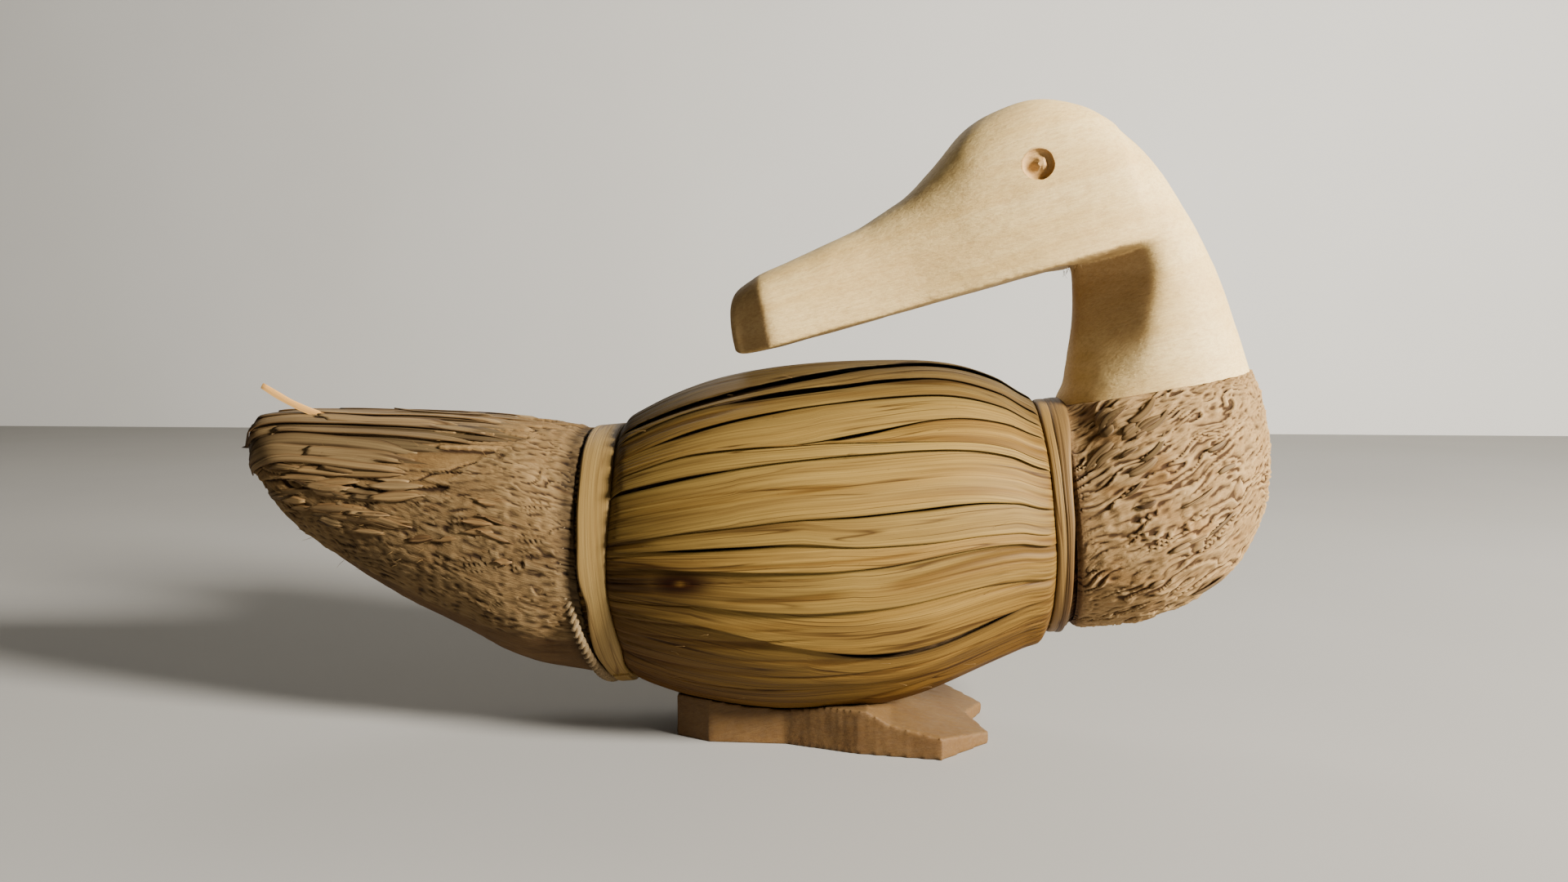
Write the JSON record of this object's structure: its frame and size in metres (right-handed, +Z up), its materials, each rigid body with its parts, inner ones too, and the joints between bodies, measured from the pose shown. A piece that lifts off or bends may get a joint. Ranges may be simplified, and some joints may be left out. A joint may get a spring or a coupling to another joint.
{
  "type": "straw duck figurine",
  "caption": "Decorative duck: a barrel body of bundled dry leaves bound at both ends, a raw carved wood head and neck turned back over it, and a webbed wooden foot block.",
  "frame": {"origin": "on the underside of the feet block, below the middle of the duck's length, on its plane of symmetry", "axes": "+X forward towards the breast, +Y to the duck's left, +Z up"},
  "size_m": [0.3161, 0.108, 0.1943],
  "materials": {
    "raw_wood": "raw, sanded, matte",
    "golden_leaf": "dry leaf, satin",
    "tail_leaf": "dry leaf, split, matte",
    "trimmed_straw": "cut leaf edges, rough, matte",
    "inner_straw": "packed dry leaf, matte",
    "pale_leaf": "flat leaf strip, satin",
    "band_leaf": "folded leaf strip, satin",
    "cord": "twisted plant fibre",
    "splinter": "split stalk, satin"
  },
  "bodies": {
    "root": {"core_bundle": "inner_straw", "tail_bundle": "trimmed_straw", "breast_bundle": "trimmed_straw", "rear_binding_cord": "cord", "front_binding_cord": "cord", "rear_band": "pale_leaf", "rear_band_tuck": "pale_leaf", "front_band_back_wrap": "band_leaf", "front_band_front_wrap": "band_leaf", "head_and_neck": "raw_wood", "neck_dowel": "raw_wood", "feet_block": "raw_wood", "loose_splinter": "splinter", "barrel_leaf_01": "golden_leaf", "barrel_leaf_02": "golden_leaf", "barrel_leaf_03": "golden_leaf", "barrel_leaf_04": "golden_leaf", "barrel_leaf_05": "golden_leaf", "barrel_leaf_06": "golden_leaf", "barrel_leaf_07": "golden_leaf", "barrel_leaf_08": "golden_leaf", "barrel_leaf_09": "golden_leaf", "barrel_leaf_10": "golden_leaf", "barrel_leaf_11": "golden_leaf", "barrel_leaf_12": "golden_leaf", "barrel_leaf_13": "golden_leaf", "barrel_leaf_14": "golden_leaf", "barrel_leaf_15": "golden_leaf", "barrel_leaf_16": "golden_leaf", "barrel_leaf_17": "golden_leaf", "barrel_leaf_18": "golden_leaf", "barrel_leaf_19": "golden_leaf", "barrel_leaf_20": "golden_leaf", "barrel_leaf_21": "golden_leaf", "barrel_leaf_22": "golden_leaf", "barrel_leaf_23": "golden_leaf", "barrel_leaf_24": "golden_leaf", "barrel_leaf_25": "golden_leaf", "barrel_leaf_26": "golden_leaf", "barrel_leaf_27": "golden_leaf", "barrel_leaf_28": "golden_leaf", "tail_leaf_01": "tail_leaf", "tail_leaf_02": "tail_leaf", "tail_leaf_03": "tail_leaf", "tail_leaf_04": "tail_leaf", "tail_leaf_05": "tail_leaf", "tail_leaf_06": "tail_leaf", "tail_leaf_07": "tail_leaf", "tail_leaf_08": "tail_leaf", "tail_leaf_09": "tail_leaf"}
  },
  "joints": []
}
